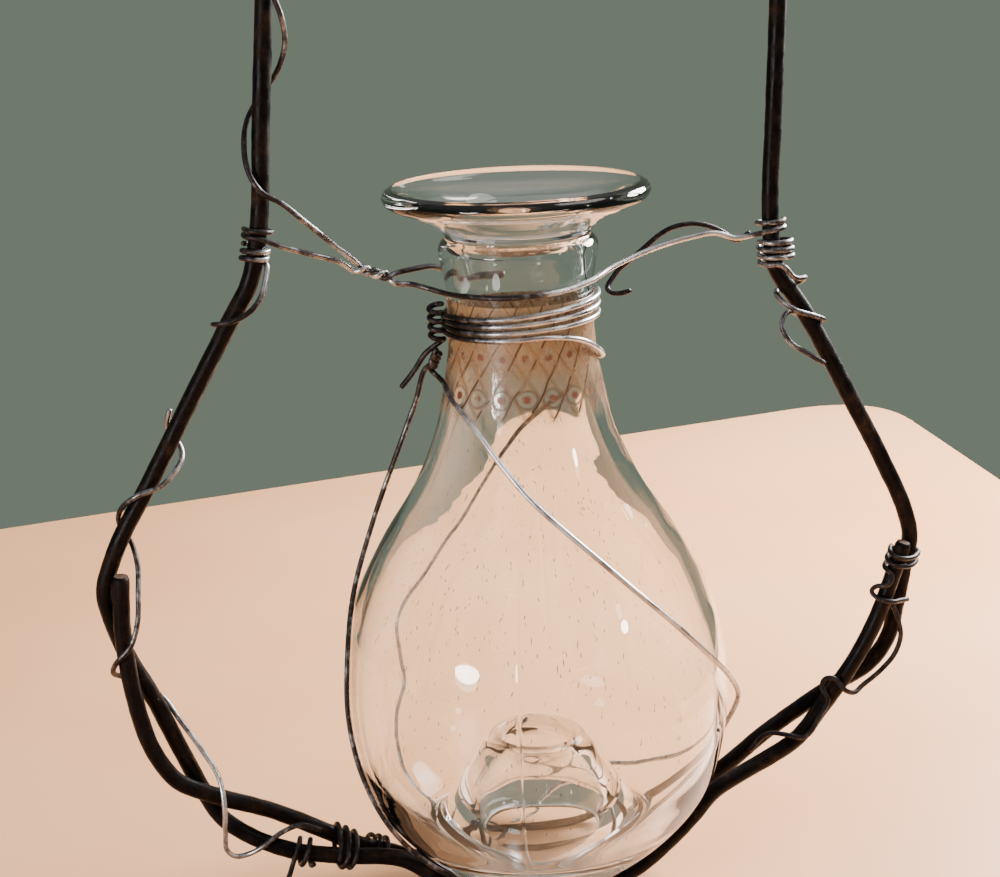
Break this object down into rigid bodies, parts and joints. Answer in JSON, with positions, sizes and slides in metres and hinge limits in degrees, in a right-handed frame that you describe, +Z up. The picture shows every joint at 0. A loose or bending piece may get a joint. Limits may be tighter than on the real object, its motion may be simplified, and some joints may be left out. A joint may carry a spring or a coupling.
{
  "type": "wasp trap",
  "caption": "Glass wasp trap bottle with an entry hole in its kicked-up base, wired by its neck into a free-standing bent wire frame with a hanging eye at the top.",
  "frame": {"origin": "on the table, midway between the ends of the frame and midway between the front and back base rails", "axes": "+X to the right along the frame, -Y towards the front, +Z up the bottle's axis to the hanging eye"},
  "size_m": [0.24, 0.1108, 0.3783],
  "materials": {
    "glass": "clear, faintly grey-green, with seed bubbles",
    "printed_band": "thin printed paint, ochre with a brown lattice",
    "frame_wire": "dark rusted steel wire",
    "thin_wire": "dull galvanised wire"
  },
  "bodies": {
    "frame": {"hanging_eye": "frame_wire", "left_arch_arm": "frame_wire", "right_arch_arm": "frame_wire", "left_upright": "frame_wire", "right_upright": "frame_wire", "left_slant": "frame_wire", "right_slant": "frame_wire", "front_strand_left": "frame_wire", "front_rail": "frame_wire", "front_strand_right": "frame_wire", "back_strand_left": "frame_wire", "back_rail": "frame_wire", "back_strand_right": "frame_wire", "left_upright_spiral": "thin_wire", "left_shoulder_wrap": "thin_wire", "left_side_wire": "thin_wire", "bottom_coil": "thin_wire", "bottom_binding_outer": "thin_wire", "bottom_binding_inner": "thin_wire", "right_shoulder_coil": "thin_wire", "right_elbow_binding": "thin_wire", "right_lower_wire": "thin_wire"},
    "cradle": {"main_tie_wire": "thin_wire", "left_stay_wire": "thin_wire", "right_stay_wire": "thin_wire", "neck_collar": "thin_wire", "collar_knot": "thin_wire", "sling_left": "thin_wire", "sling_front": "thin_wire", "sling_back": "thin_wire"},
    "bottle": {"bottle": "glass", "neck_band": "printed_band"}
  },
  "joints": [
    {"name": "cradle_swing", "type": "hinge", "parent": "frame", "child": "cradle", "pos_m": [0, 0, 0.196], "axis": [1, 0, 0], "range_deg": [-3, 3]},
    {"name": "bottle_spin", "type": "hinge", "parent": "cradle", "child": "bottle", "pos_m": [0.0025, 0, 0.1], "axis": [0, 0, 1], "continuous": true}
  ]
}
